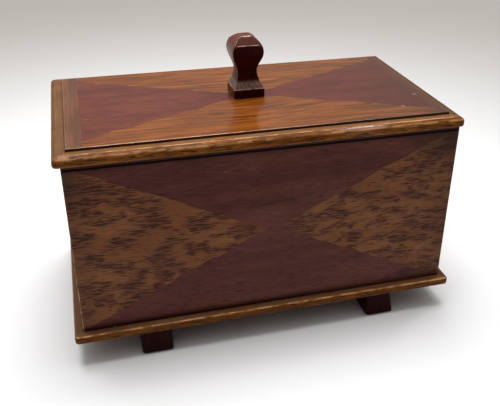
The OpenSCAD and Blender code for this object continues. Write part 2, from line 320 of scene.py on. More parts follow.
def lid_finish(k, grain, edge_colour):
    """Glossy varnish on the lid's panel, with a worn upper edge and a riser below it darkened by dirt
    and painted shade.
    """
    smudge = k.noise((22, 30, 22), 3, 0.6)
    side = k.math("ABSOLUTE", k.minus(k.x, LID_X))
    end_edge = k.step(k.minus(panel_hi.x - LID_X, side), 0.75, 0.25, 0.0, 0.35)
    long_edge = k.step(k.minus(panel_hi.y, k.math("ABSOLUTE", k.y)), 0.75, 0.25)
    upper = k.step(k.z, panel_hi.z - 0.2, panel_hi.z - 0.06)
    edge = k.times(k.larger(end_edge, long_edge), upper)
    worn = k.times(edge, k.step(k.noise((8, 8, 3), 3, 0.6), 0.3, 0.6, 0.3, 0.9))
    k.paint(worn, edge_colour)
    # The varnish is browner towards the right end
    stained = k.step(k.plus(k.x, k.times(k.noise((24, 24, 24), 3), 26.0)), 36.0, 138.0)
    stained = k.times(stained, k.step(k.y, 20.0, -20.0, 0.45, 1.0))
    k.colour = k.mix(stained, k.colour, (0.70, 0.80, 1.0, 1.0), "MULTIPLY")
    for x, y, half_w, half_d in LID_MARKS:
        mark = k.mark((x, y, panel_hi.z), (half_w, half_d, 1.0))
        k.paint(k.times(mark, 0.45), rgb(186, 158, 128))
    # Dirt has darkened the right half of the panel's front edge
    front_edge = k.step(k.minus(k.y, panel_lo.y), 2.2, 0.6)
    dirt = k.times(front_edge, k.step(k.x, -10.0, 60.0, 0.0, 0.7))
    k.paint(dirt, rgb(60, 22, 8))
    # The riser is darkened by dirt and painted shade
    riser = k.step(k.z, panel_hi.z - 0.06, panel_hi.z - 0.26)
    k.paint(riser, rgb(44, 8, 3))
    gloss = k.step(smudge, 0.35, 0.7, 0.09, 0.17)
    return k.shade(Metallic=0.2, Roughness=0.35, Specular_IOR_Level=0.1,
                   Coat_Weight=1.0, Coat_IOR=1.5, Coat_Roughness=gloss, Normal=k.bump(grain, 0.02),
                   Coat_Normal=k.bump(k.noise((30, 26, 30), 2), 0.05))


def lid_mahogany(name):
    """Dark red veneer of the panel's left and right pieces, darker on the right."""
    k = Look(name)
    grain = k.flow((70, 50, 50), (0.0, 3.0, 0.0))
    tone = k.noise((50, 12, 12), 3)
    k.colour = k.mix(k.step(tone, 0.35, 0.65), rgb(101, 40, 24), rgb(121, 55, 35))
    k.paint(k.step(k.x, -15.0, 25.0, 0.0, 0.4), rgb(88, 30, 16))
    streaks = k.noise((10, 0.6, 0.6), 4, 0.66, vector=grain)
    k.paint(k.step(streaks, 0.45, 0.64, 0.0, 0.8), rgb(74, 30, 20))
    return lid_finish(k, streaks, rgb(190, 145, 112))


def lid_orange(name):
    """Orange-brown veneer of the panel's front and back pieces, with long dark streaks."""
    k = Look(name)
    grain = k.flow((80, 50, 50), (0.0, 5.0, 0.0))
    tone = k.noise((60, 6, 6), 3, vector=grain)
    k.colour = k.mix(k.step(tone, 0.35, 0.65), rgb(120, 60, 10), rgb(149, 82, 20))
    streaks = k.noise((20, 0.9, 0.9), 3, 0.6, 0.2, vector=grain)
    k.paint(k.step(streaks, 0.47, 0.63, 0.0, 0.85), rgb(74, 35, 8))
    pale = k.step(k.noise((36, 1.5, 1.5), 3, 0.6, 0.3, vector=grain), 0.54, 0.70, 0.0, 0.5)
    k.paint(pale, rgb(168, 106, 50))
    return lid_finish(k, streaks, rgb(196, 150, 112))


def lid_band(name):
    """Brown veneer of the bands across the panel's ends."""
    k = Look(name)
    tone = k.noise((4, 60, 60), 3)
    k.colour = k.mix(k.step(tone, 0.4, 0.6), rgb(97, 58, 31), rgb(121, 74, 43))
    streaks = k.noise((0.9, 24, 24), 4, 0.6)
    k.paint(k.step(streaks, 0.45, 0.72, 0.0, 0.3), rgb(70, 42, 24))
    # The right band is as red as the piece next to it
    k.paint(k.step(k.x, -10.0, 10.0, 0.0, 0.7), rgb(92, 43, 28))
    return lid_finish(k, streaks, rgb(186, 148, 114))


def moulding_wood(name):
    """Golden brown wood with worn arrises and painted highlights, corners darkened by dirt and
    painted shade, and bare wood where it doesn't show.
    """
    k = Look(name)
    tone = k.noise((34, 10, 10), 3)
    k.colour = k.mix(k.step(tone, 0.3, 0.7), rgb(104, 54, 11), rgb(132, 79, 24))
    # Grain runs along the front and back, and dirt runs along the ends
    end = k.attribute("end")
    streaks = k.plus(k.times(k.noise((9, 0.7, 0.7), 4, 0.62, 0.3), k.minus(1.0, end)),
                     k.times(k.noise((1.6, 24, 1.6), 3, 0.6), end))
    pale = k.step(k.noise((12, 0.9, 0.9), 3, 0.6, 0.3), 0.54, 0.68, 0.0, 0.6)
    k.paint(pale, rgb(178, 116, 40))
    depth = k.minus(0.9, k.times(end, 0.5))
    k.paint(k.times(k.step(streaks, 0.47, 0.60), depth), rgb(52, 24, 7))
    smears = k.step(k.noise((16, 2.2, 2.2), 3, 0.55, 0.4), 0.52, 0.68, 0.0, 0.55)
    k.paint(smears, rgb(58, 28, 9))
    # The ends are dull, and the right one is darker
    dull = k.mix(k.step(k.x, -60.0, 60.0), rgb(98, 77, 60), rgb(72, 50, 36))
    k.paint(k.times(end, k.step(k.x, -60.0, 60.0, 0.6, 0.85)), dull)
    # The upright face below the base's round is darker: painted shade
    face = k.step(k.z, base_hi.z - 0.8, base_hi.z - 1.6, 0.0, 0.3)
    k.paint(face, rgb(66, 30, 6))
    # Grey-brown on the flat ledges: dust, and a painted sheen
    on_base = k.step(k.z, base_hi.z + 1.0, base_hi.z + 0.5)
    ledge = k.times(k.step(k.z, base_hi.z - 0.3, base_hi.z - 0.1), on_base)
    ledge = k.larger(ledge, k.step(k.z, lid_hi.z - 0.3, lid_hi.z - 0.1))
    ledge = k.times(ledge, k.step(k.noise((20, 20, 20), 3), 0.3, 0.7, 0.35, 0.65))
    ledge = k.times(ledge, k.minus(1.0, k.times(end, 0.7)))
    k.paint(ledge, rgb(126, 95, 69))
    # Pale arrises: worn varnish and painted highlights, with a painted floor reflection on the round
    # below; the lid's front left corner is worn too
    rubbed = k.step(k.noise((9, 9, 4), 4, 0.65), 0.42, 0.62, 0.15, 1.0)
    worn = k.times(k.math("POWER", k.attribute("edge"), 2.0), rubbed)
    worn = k.times(worn, k.minus(1.0, k.times(end, 0.85)))
    bald = k.times(k.mark((-119.0, -69.0, 142.5), (9.0, 5.0, 3.0), 0.9), 0.55)
    k.paint(k.larger(k.times(worn, 0.85), bald), rgb(204, 156, 112))
    # Dirt and painted shade in the corners by the walls and the panel, and dirt in the dents
    dirt = k.times(k.attribute("dirt_and_shade"), k.step(k.noise((16, 16, 16), 3), 0.25, 0.6, 0.5, 1.0))
    k.paint(dirt, rgb(44, 28, 24))
    bare = k.mix(k.step(streaks, 0.4, 0.7), rgb(124, 92, 60), rgb(92, 62, 38))
    k.paint(k.attribute("bare_and_sheen"), bare)
    rough = k.plus(k.step(k.noise((18, 18, 18), 3), 0.3, 0.7, 0.28, 0.4),
                   k.times(k.attribute("bare_and_sheen"), 0.3))
    # The lid's front edge is polished most where it is held
    polish = k.larger(k.mark((55.0, -70.0, 142.0), (26.0, 5.0, 4.0), 0.8),
                      k.times(k.mark((-113.0, -70.0, 142.0), (9.0, 5.0, 4.0), 1.2), 0.25))
    rough = k.minus(rough, k.times(polish, 0.18))
    return k.shade(Roughness=rough, Specular_IOR_Level=k.step(polish, 0.0, 1.0, 0.06, 0.9),
                   Normal=k.bump(streaks, 0.05, k.step(polish, 0.0, 1.0, 1.0, 0.12)))


def dark_wood(name):
    """Very dark maroon wood of the knob and of the feet."""
    k = Look(name)
    # The knob is redder than the feet
    on_knob = k.step(k.z, wall_lo.z, lid_lo.z)
    dark = k.mix(on_knob, rgb(34, 8, 6), rgb(48, 7, 3))
    less_dark = k.mix(on_knob, rgb(50, 14, 10), rgb(70, 16, 7))
    k.colour = k.mix(k.noise((7, 7, 24), 3), dark, less_dark)
    streaks = k.noise((1.0, 1.0, 16), 4, 0.6)
    k.paint(k.step(streaks, 0.42, 0.7, 0.0, 0.7), rgb(22, 5, 4))
    # Lighter brown on the knob's head: wear from handling, and painted sheen on its sides and facets
    marks_and_shading = k.times(k.attribute("bare_and_sheen"), k.step(streaks, 0.3, 0.7, 1.0, 0.75))
    k.paint(marks_and_shading, rgb(106, 54, 38))
    # Light lines on the knob's arrises: wear and painted highlights
    worn = k.times(k.attribute("edge"), k.step(k.noise((3, 3, 2), 4, 0.65), 0.32, 0.52))
    k.paint(worn, rgb(196, 162, 148))
    specks = k.step(k.noise((1.2, 1.2, 1.2), 4, 0.65), 0.35, 0.65, 0.35, 1.0)
    dusty = k.times(k.attribute("dirt_and_shade"), specks)
    k.paint(dusty, rgb(136, 112, 100))
    return k.shade(Roughness=k.step(k.noise((9, 9, 9), 3), 0.3, 0.7, 0.26, 0.4),
                   Specular_IOR_Level=k.step(k.attribute("gloss"), 0.0, 1.0, 0.05, 0.4),
                   Normal=k.bump(streaks, 0.04))


def plain_wood(name, axis):
    """Bare wood inside the box and under the lid."""
    k = Look(name)
    k.colour = k.mix(k.noise(along(axis, 70, 12), 3), rgb(152, 112, 70), rgb(176, 136, 90))
    streaks = k.noise(along(axis, 40, 1.4), 4, 0.6, 0.3)
    k.paint(k.step(streaks, 0.45, 0.72, 0.0, 0.7), rgb(122, 84, 50))
    stain = k.step(k.noise((30, 30, 24), 3), 0.45, 0.8, 0.0, 0.45)
    k.paint(stain, rgb(104, 70, 44))
    return k.shade(Roughness=0.72, Specular_IOR_Level=0.3, Normal=k.bump(streaks, 0.06))


def steel(name):
    """Tarnished steel of the screws."""
    k = Look(name)
    tarnish = k.step(k.noise((2.5, 2.5, 2.5), 4), 0.4, 0.7)
    k.colour = k.mix(tarnish, rgb(168, 166, 160), rgb(104, 92, 80))
    return k.shade(Metallic=1.0, Roughness=k.step(tarnish, 0.0, 1.0, 0.32, 0.6),
                   Normal=k.bump(k.noise((0.6, 0.6, 0.6), 2), 0.02))


FLECKED = {axis: flecked_wood("flecked_%d" % axis, axis) for axis in (0, 1)}
MAHOGANY = {axis: wall_mahogany("wall_mahogany_%d" % axis, axis) for axis in (0, 1)}
PLAIN = {axis: plain_wood("plain_%d" % axis, axis) for axis in (0, 1)}
LID_RED, LID_ORANGE = lid_mahogany("lid_red"), lid_orange("lid_orange")
LID_BAND, MOULDING = lid_band("lid_band"), moulding_wood("moulding")
DARK, STEEL = dark_wood("dark"), steel("steel")


# Mesh helpers


def new_object(name, data):
    made = bpy.data.objects.new(name, data)
    bpy.context.scene.collection.objects.link(made)
    return made


def finish_piece(bm, name, node, body, material, sharp=40):
    """Turns a mesh in millimetres into a piece that stands for a CAD node. Edges that turn by
    more than sharp degrees aren't smoothed."""
    bmesh.ops.recalc_face_normals(bm, faces=bm.faces)
    bmesh.ops.transform(bm, matrix=Matrix.Scale(MM, 4), verts=bm.verts)
    mesh = bpy.data.meshes.new(name)
    bm.to_mesh(mesh)
    bm.free()
    mesh.materials.append(material)
    mesh.shade_smooth()
    mesh.set_sharp_from_angle(angle=math.radians(sharp))
    piece = new_object(name, mesh)
    weighted = piece.modifiers.new("weighted", "WEIGHTED_NORMAL")
    weighted.keep_sharp = True
    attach(piece, body)
    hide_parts(node)


def cut_across(bm, way, places):
    """Cuts a mesh along planes at right angles to an axis, at some places on it."""
    normal = Vector((0.0, 0.0, 0.0))
    normal[way] = 1.0
    for place in places:
        bmesh.ops.bisect_plane(bm, geom=bm.verts[:] + bm.edges[:] + bm.faces[:],
                               plane_co=normal * place, plane_no=normal, dist=0.0005)


def extent(bm, way):
    """Lowest and highest place of a mesh along an axis."""
    places = [v.co[way] for v in bm.verts]
    return min(places), max(places)


def sawn_joints(nodes, level, up, depth, scallops=None):
    """Makes the sawn joints between the four pieces of a pattern uneven. The pattern lies along
    the axes level and up. The two pieces at a joint are moved alike, so it stays closed. depth
    is how far the joints stray, and scallops is (start, pitch, number, depth) along the joint in
    the lower left quarter."""
    low, high = corners(*nodes)
    middle = (low + high) / 2
    half = (high - low) / 2
    # A mesh is cut at this distance, so that it can bend
    pitch = 1.5
    # The joints run true at the middle of the pattern and at its corners
    true_middle, fade_middle, fade_corner = 9.0, 14.0, 9.0

    def shift(place):
        across, along_up = place[level] - middle[level], place[up] - middle[up]
        uneven = depth * limited((abs(across) - true_middle) / fade_middle)
        uneven *= limited((half[level] - abs(across)) / fade_corner)
        # Each joint has a place of its own in the noise
        seed = 11.0 + 3.1 * (across > 0) + 5.3 * (along_up > 0) + 0.37 * sum(middle)
        moved = uneven * (noise.noise(Vector((place[level] / 8, seed, 0.5)))
                          + 0.5 * noise.noise(Vector((place[level] / 3, seed, 4.5))))
        if scallops and across < 0 and along_up < 0:
            start, wave, number, drop = scallops
            turn = (place[level] - start) / wave
            if 0 < turn < number:
                moved -= drop * (0.5 - 0.5 * math.cos(math.tau * turn))
        return moved

    def saw(bm):
        first, last = extent(bm, level)
        numbers = range(math.floor(first / pitch) + 1, math.ceil(last / pitch))
        cut_across(bm, level, [i * pitch for i in numbers])
        for v in bm.verts:
            if all(abs(v.co[i] - middle[i]) < half[i] - 0.01 for i in (level, up)):
                v.co[up] += shift(v.co)
    return saw


def softened(node, material, bevels, paint=None, saw=None):
    """Copy of a CAD node with some of its edges rounded. bevels is a list of (choice of an edge
    by its middle and direction, width, number of steps), saw makes its joints uneven, and paint
    adds layers to the mesh."""
    source = frame["nodes"][node]
    bm = bmesh.new()
    bm.from_mesh(source.data)
    bmesh.ops.transform(bm, matrix=Matrix.Scale(1 / MM, 4), verts=bm.verts)
    bmesh.ops.remove_doubles(bm, verts=bm.verts, dist=0.001)
    bmesh.ops.dissolve_limit(bm, angle_limit=math.radians(0.1), verts=bm.verts, edges=bm.edges)
    if saw:
        saw(bm)
    for choice, width, steps in bevels:
        edges = []
        for edge in bm.edges:
            if len(edge.link_faces) == 2 and edge.calc_face_angle() > math.radians(20):
                a, b = (v.co for v in edge.verts)
                if choice((a + b) / 2, (b - a).normalized()):
                    edges.append(edge)
        bmesh.ops.bevel(bm, geom=edges, offset=width, offset_type="OFFSET", segments=steps,
                        profile=0.5, affect="EDGES", clamp_overlap=True)
    if paint:
        paint(bm)
    finish_piece(bm, node + "_piece", node, source["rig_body"], material)


def ring(middle, half_w, half_d, radius, side_w, side_d, turn=6):
    """Points round a rectangle with round corners. The last three are the numbers of parts of its
    sides and of each corner."""
    arcs = []
    for sx, sy, start in ((1, 1, 0), (-1, 1, 90), (-1, -1, 180), (1, -1, 270)):
        centre = middle + Vector((sx * (half_w - radius), sy * (half_d - radius)))
        angles = [math.radians(start + 90 * i / turn) for i in range(turn + 1)]
        arcs.append([centre + radius * Vector((math.cos(a), math.sin(a))) for a in angles])
    points = []
    for i, count in enumerate((side_w, side_d, side_w, side_d)):
        end = arcs[(i + 1) % 4][0]
        points += arcs[i] + [arcs[i][-1].lerp(end, j / count) for j in range(1, count)]
    return points


def skin(bm, rows, layers):
    """Joins closed rows of points. Each row is (points, {layer: value}). Returns the vertices."""
    made = []
    for points, values in rows:
        row = [bm.verts.new(p) for p in points]
        for name, value in values.items():
            for v in row:
                v[layers[name]] = value
        made.append(row)
    for lower, upper in zip(made, made[1:]):
        for i in range(len(lower)):
            j = (i + 1) % len(lower)
            bm.faces.new((lower[i], lower[j], upper[j], upper[i]))
    return made


def layers_of(bm):
    """Layers that tell a material where a mesh is worn and painted with highlights, dirty and painted
    with shade, bare (on the knob also painted with sheen), at an end or glossy.
    """
    return {n: bm.verts.layers.float.new(n) for n in ("edge", "dirt_and_shade", "bare_and_sheen", "end", "gloss")}


def fill(bm, outer, holes):
    """Closes a flat ring of vertices, apart from round holes in it."""
    edges = []
    for loop in [outer] + holes:
        for i in range(len(loop)):
            pair = (loop[i], loop[(i + 1) % len(loop)])
            edges.append(bm.edges.get(pair) or bm.edges.new(pair))
    bmesh.ops.triangle_fill(bm, use_beauty=True, use_dissolve=False, edges=edges)


def circle(x, y, z, radius, count=24):
    angles = [math.tau * i / count for i in range(count)]
    return [Vector((x + radius * math.cos(a), y + radius * math.sin(a), z)) for a in angles]


# Half width of a dent from front to back, and height above the board's foot where dents begin
DENT_HALF_W = 1.2
DENTS_ABOVE = 3.0


def board(node, material, corner, profile, holes, dents=()):
    """Flat board with a worked edge. profile goes up round the edge as (inset from the outer
    edge, height, unevenness, {layer: value}), a hole is (x, y, [(radius, z)...]) and a dent in
    the upper part of the edge is (x, y, half length, depth)."""
    low, high = corners(node)
    middle = Vector(((low.x + high.x) / 2, (low.y + high.y) / 2))
    half_w, half_d = (high.x - low.x) / 2, (high.y - low.y) / 2
    near_corner, least_radius = corner + 8, 0.25
    parts_w, parts_d = 110, 62
    bm = bmesh.new()
    layers = layers_of(bm)
    rows = []
    for inset, height, uneven, values in profile:
        points = []
        radius = max(corner - inset, least_radius)
        for p in ring(middle, half_w - inset, half_d - inset, radius, parts_w, parts_d):
            worn = uneven * (0.5 + 0.5 * noise.noise(Vector((p.x / 7, p.y / 7, height)))
                             + 0.35 * noise.noise(Vector((p.x / 1.8, p.y / 1.8, height + 9))))
            worn = max(worn, 0.0)
            # Wear goes in from the nearest side, and from both sides near a corner
            inward = middle - p
            if abs(inward.x) <= half_w - near_corner:
                inward.x = 0.0
            if abs(inward.y) <= half_d - near_corner:
                inward.y = 0.0
            p = p + inward.normalized() * worn
            points.append(Vector((p.x, p.y, low.z + height - 0.6 * worn)))
        rows.append((points, values))
    made = skin(bm, rows, layers)
    for row in made:
        # The part of each row at the two ends
        right = max(v.co.x for v in row) - middle.x
        back = max(v.co.y for v in row) - middle.y
        for v in row:
            at_end = right - abs(v.co.x - middle.x) < back - abs(v.co.y - middle.y)
            v[layers["end"]] = float(at_end)
            for x, y, half, depth in dents:
                away = Vector(((v.co.x - x) / half, (v.co.y - y) / DENT_HALF_W)).length
                if away < 1.0 and v.co.z > low.z + DENTS_ABOVE:
                    v.co.z -= depth * (1 - away * away)
                    v[layers["dirt_and_shade"]] = max(v[layers["dirt_and_shade"]], 1.5 * (1 - away))
    below, above = [], []
    for x, y, steps in holes:
        wall = skin(bm, [(circle(x, y, z, r), {"bare_and_sheen": 1.0}) for r, z in steps], layers)
        below.append(wall[0])
        above.append(wall[-1])
    fill(bm, made[0], below)
    fill(bm, made[-1], above)
    finish_piece(bm, node + "_piece", node, frame["nodes"][node]["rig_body"], material)


def arc(inset, height, radius, start, end, steps):
    """Points of a round edge as (inset, height), from angle start to end: 0 looks outwards."""
    angles = [math.radians(start + (end - start) * i / steps) for i in range(steps + 1)]
    return [(inset - radius * math.cos(a), height + radius * math.sin(a)) for a in angles]


def worn_rows(points, edges, uneven=0.0, uneven_ends=0.0):
    """Rows of a profile through some points. edges says how pale each is painted, for wear and
    painted highlights.
    """
    last = len(points) - 1
    return [(inset, height, uneven if 0 < i < last else uneven_ends, {"edge": edge})
            for i, ((inset, height), edge) in enumerate(zip(points, edges))]


def flat_rows(height, *rows):
    """Rows of a profile that are all at one height, each as (inset, {layer: value})."""
    return [(inset, height, 0.0, values) for inset, values in rows]


# Base board

HEAD_R, SHANK_R = 3.5, 1.75


def screw_hole(node, x, y, top):
    """Hole of a countersunk screw, from the underside up to top."""
    bottom = corners(node)[0].z
    return (x, y, [(HEAD_R, bottom), (SHANK_R, bottom + (HEAD_R - SHANK_R)), (SHANK_R, top)])


def screw_places(node):
    """Middle of each screw of a node, from the rims of their heads."""
    low = corners(node)[0].z
    groups = []
    for v in frame["nodes"][node].data.vertices:
        p = v.co / MM
        if p.z < low + 0.01:
            near = [g for g in groups if (g[0] - p.xy).length < 9]
            (near[0] if near else groups).append(p.xy if near else [p.xy])
    return [((max(q.x for q in g) + min(q.x for q in g)) / 2,
             (max(q.y for q in g) + min(q.y for q in g)) / 2) for g in groups]


# The lid board has the same round below and at its corners
ROUND_BELOW = arc(1.8, 1.8, 1.8, -90, 0, 5)
CORNER_R = 2.5
BASE_T = base_hi.z - base_lo.z
round_above = arc(1.2, BASE_T - 1.2, 1.2, 0, 90, 6)
over = wall_lo.x - base_lo.x
# Pale on the rounds is wear and painted highlights, on the round below also a painted floor
# reflection; the ledge by the wall gets dirt and painted shade
base_profile = (
    worn_rows(ROUND_BELOW, (0.0, 0.1, 0.45, 0.45, 0.1, 0.0))
    + flat_rows(3.2, (0.0, {}))
    + worn_rows(round_above, (0.0, 0.2, 0.7, 1.25, 1.25, 1.0, 0.4), 0.2)
    + flat_rows(BASE_T, (over * 0.5, {}), (over - 1.4, {"dirt_and_shade": 0.1}), (over - 0.1, {"dirt_and_shade": 0.6}),
                (over + 2.0, {"dirt_and_shade": 0.6}), (over + 9.0, {"bare_and_sheen": 1.0})))
base_holes = [screw_hole("base_board", x, y, base_hi.z) for x, y in screw_places("base_screws")]
board("base_board", MOULDING, CORNER_R, base_profile, base_holes)


# Lid board

LID_T = lid_hi.z - lid_lo.z
BEVEL_W, BEVEL_H = 3.0, 1.5
SLOPE = Vector((BEVEL_W, BEVEL_H)).normalized()


def fillet(before, corner, after, steps=4):
    """Curve that rounds a corner between two points beside it."""
    before, corner, after = Vector(before), Vector(corner), Vector(after)
    return [tuple((1 - t) ** 2 * before + 2 * t * (1 - t) * corner + t * t * after)
            for t in [0.0] + portions(steps)]


bevel_foot = Vector((0, LID_T - BEVEL_H))
bevel_top = Vector((BEVEL_W, LID_T))
lower_arris = fillet((0, LID_T - BEVEL_H - 1.7), bevel_foot, 1.9 * SLOPE + bevel_foot, 6)
upper_arris = fillet(bevel_top - 0.7 * SLOPE, bevel_top, (BEVEL_W + 0.7, LID_T))
ledge = panel_lo.x - lid_lo.x
# Pale on the rounds and arrises is wear and painted highlights, on the round below also a painted
# floor reflection; the ledge by the panel gets dirt and painted shade
lid_profile = (
    flat_rows(0.0, (8.0, {"bare_and_sheen": 1.0}), (3.2, {"bare_and_sheen": 0.4}))
    + worn_rows(ROUND_BELOW, (0.0, 0.1, 0.5, 0.5, 0.1, 0.0))
    + flat_rows(3.0, (0.0, {}))
    + worn_rows(lower_arris, (0.0, 0.25, 0.5, 0.75, 0.8, 0.5, 0.2), 0.12, 0.12)
    + worn_rows(upper_arris, (0.0, 0.8, 1.0, 0.8, 0.0), 0.2)
    + flat_rows(LID_T, (ledge - 2.6, {}), (ledge - 0.9, {"dirt_and_shade": 0.1}),
                (ledge - 0.1, {"dirt_and_shade": 0.8}), (ledge + 2.0, {"dirt_and_shade": 1.0})))
lid_hole = screw_hole("lid_board", KNOB_X, KNOB_Y, lid_hi.z)
lid_dents = [(-114.5, -67.9, 3.4, 0.7), (-105.3, -69.4, 2.4, 0.35)]
board("lid_board", MOULDING, CORNER_R, lid_profile, [lid_hole], lid_dents)


# Veneers of the walls and of the lid

# Chains of flecks on the two golden pieces of the front: each chain is a line of
# (x, height above the wall's foot, half thickness)
FRONT_CHAINS = {"left": [
    [(-119, 98, 3), (-108, 98, 3.5), (-95, 96, 3), (-86, 93, 2)],
    [(-112, 102, 1.5), (-103, 101, 1.5)],
    [(-119, 90, 2), (-105, 90, 2), (-92, 88, 1.8), (-78, 86, 1.8), (-68, 85, 1.2)],
    [(-119, 86, 3), (-115, 84, 3), (-110, 81, 2), (-104, 82, 1.2)],
    [(-111, 76, 1.5), (-102, 76, 2.2), (-96, 77, 2), (-91, 79, 1.2)],
    [(-121, 69, 2.5), (-115, 68, 3)], [(-121, 62, 1.5), (-112, 63, 1)],
    [(-81, 82, 2), (-76, 78, 3.5), (-72, 75, 4), (-68, 71, 2.5)], [(-79, 70, 2), (-70, 70, 2)],
    [(-97, 60, 3), (-93, 61, 4), (-89, 65, 2.5), (-82, 67, 2), (-72, 68, 1.5), (-64, 66, 1.2),
     (-58, 65, 1)],
    [(-92, 57, 2), (-88, 58, 1.5)], [(-51, 70, 2), (-46, 67, 4.5), (-44, 63, 2.5)],
    [(-43, 72, 2.5), (-35, 70, 1.8), (-30, 69, 1)], [(-51, 63, 1.2), (-38, 62, 1.2)],
    [(-63, 59, 2.5), (-56, 57, 1.5)],
    [(-65, 56, 1.5), (-71, 51, 3), (-73, 46, 4), (-70, 42, 3), (-64, 39, 2.5), (-58, 39, 1.5)],
    [(-38, 57, 1.2), (-28, 57, 1.6), (-22, 59, 2.5), (-17, 61, 2.5), (-13, 58, 2)],
    [(-21, 54, 1.5), (-14, 55, 2)], [(-54, 51, 1.8), (-46, 51, 2)],
    [(-53, 47.5, 1.2), (-42, 48, 1.5)], [(-41, 45, 1.5), (-30, 47, 1.2), (-24, 48.5, 1)],
    [(-115, 54, 2), (-111, 51, 2.5), (-105, 51, 1)],
    [(-109, 47, 1.5), (-101, 46, 2.5), (-96, 43, 3), (-91, 40, 2)],
    [(-121, 33, 2.5), (-114, 31, 4), (-106, 31, 2.5), (-101, 30, 1.2)],
    [(-119, 27, 2), (-115, 26, 2)],
    [(-79, 38, 2), (-84, 37, 2.5), (-89, 33, 3), (-90, 28, 4), (-87, 22, 3), (-91, 18, 2),
     (-98, 17, 1.2)],
    [(-71, 36, 2), (-68, 33, 3.5), (-71, 30, 2), (-75, 26, 2), (-80, 22, 1.5), (-86, 18, 1)],
    [(-58, 34, 2), (-52, 33, 2)], [(-112, 20, 1.5), (-108, 21, 2.5), (-104, 24, 1.5)],
    [(-107, 18, 2), (-103, 18, 1)],
    [(-113, 15, 1), (-118, 13, 2.5)], [(-104, 9, 1), (-98, 12, 1.5), (-90, 15, 1.2)],
], "right": [
    [(6, 56, 2), (12, 57, 3.5), (20, 56, 4), (28, 54, 2)], [(15, 51, 1.5), (22, 50, 1.2)],
    [(14, 62, 1), (24, 62, 1.5)], [(30, 61, 2), (38, 62, 3.5), (44, 61, 3), (49, 60, 1.5)],
    [(38, 66, 1), (44, 67, 1)], [(42, 70, 1.5), (46, 71, 1)],
    [(26, 47, 1.2), (34, 49, 1.8), (44, 51, 1.8), (54, 52, 1.2)],
    [(47, 79, 1), (50, 75, 2.5), (55, 72, 2), (62, 70.5, 2), (70, 69, 2), (78, 67, 2), (84, 65, 1.2)],
    [(60, 73, 1), (69, 73, 1)], [(73, 88, 1.5), (80, 87, 2)],
    [(74, 83.5, 2), (84, 84, 2.5), (92, 87, 2.5), (100, 87, 4), (105, 84, 3)],
    [(95, 98, 1), (105, 96, 2.5), (115, 94, 1.5)], [(89, 94, 1), (100, 92, 1.5), (110, 91, 1.2)],
    [(88, 78, 1.5), (96, 79, 2), (103, 77, 1.5)], [(92, 73, 1), (98, 75, 1.5), (104, 72, 1)],
    [(90, 70, 2), (96, 67, 1.5), (104, 65, 1.5), (114, 62, 1.2), (121, 60, 1.2)],
    [(108, 83, 1.5), (117, 82, 1.5)], [(110, 76, 1), (121, 75, 1.2)], [(116, 88, 1.5), (121, 86, 2)],
    [(60, 62, 1), (68, 61, 2), (76, 59, 1.5), (84, 57, 2), (90, 57.5, 2)], [(53, 60, 1), (57, 60, 1)],
    [(72, 54, 1), (74, 51, 2.5), (79, 49, 1)], [(65, 48, 1.5), (69, 48, 1)],
    [(90, 51, 2), (98, 50, 3)], [(94, 46, 2), (105, 45, 1.5)],
    [(100, 56, 1.5), (108, 54, 2), (119, 53, 1.5)],
    [(50, 45, 2), (56, 44, 2), (54, 38, 2.5), (55, 33, 2), (52, 31, 1)], [(44, 41, 1), (48, 40, 1)],
    [(63, 38, 1), (72, 39, 1.3), (80, 37, 2), (88, 35, 3), (96, 35, 2.5), (104, 33, 2), (113, 32, 1)],
    [(78, 41, 1), (90, 41, 1)], [(98, 42, 1.5), (106, 42, 2), (113, 41, 3.5), (119, 38, 3)],
    [(108, 48, 1), (119, 47, 1.2)],
    [(62, 28, 1), (70, 27.5, 1.5), (80, 27, 2.5), (88, 25, 3), (95, 23, 2.5)],
    [(78, 21, 1.5), (89, 20, 2)], [(98, 25, 1), (111, 22, 1)], [(104, 18, 1.5), (113, 16, 1.5)],
    [(98, 12, 1.5), (106, 10, 2.5), (113, 7, 3), (119, 4, 2)], [(114, 14, 1), (121, 12, 1.5)],
    [(108, 99, 1), (119, 100, 1.5)], [(112, 105, 1), (121, 106, 1.5)], [(112, 70, 1), (120, 69, 1.5)],
    [(114, 27, 1), (121, 28, 1)],
]}
# A chain reaches this many times further along the wall than up and down
FLECK_STRETCH = 1.7
# Length of wall for each chain where the photograph doesn't show the wall
CHAIN_EVERY = 1.7


def loose_chains(seed, low, high):
    """Chains of the same kind on a wall that the photograph doesn't show."""
    chance = random.Random(seed)
    chains = []
    for _ in range(int((high - low) / CHAIN_EVERY)):
        x, up = chance.uniform(low, high), chance.uniform(4, wall_hi.z - wall_lo.z - 4)
        chain = []
        for _ in range(chance.randint(2, 5)):
            chain.append((x, up, chance.uniform(0.9, 2.3)))
            x += chance.uniform(4, 9)
            up += chance.uniform(-5, 5)
        chains.append(chain)
    return chains


def fleck_density(x, up, spans):
    """How dense the flecks are at a point: 1 inside a chain and 0 away from all of them."""
    wobble_x = 5.0 * noise.noise(Vector((x / 7, up / 4, 3.0)))
    wobble_up = 2.6 * noise.noise(Vector((x / 7, up / 4, 8.0)))
    here = Vector(((x + wobble_x) / FLECK_STRETCH, up + wobble_up))
    best = 0.0
    for a, b, thin, thick in spans:
        side = b - a
        t = limited((here - a).dot(side) / side.length_squared)
        reach = thin + (thick - thin) * t
        best = max(best, 1.45 - 0.75 * (here - a - t * side).length / reach)
    return limited(best)


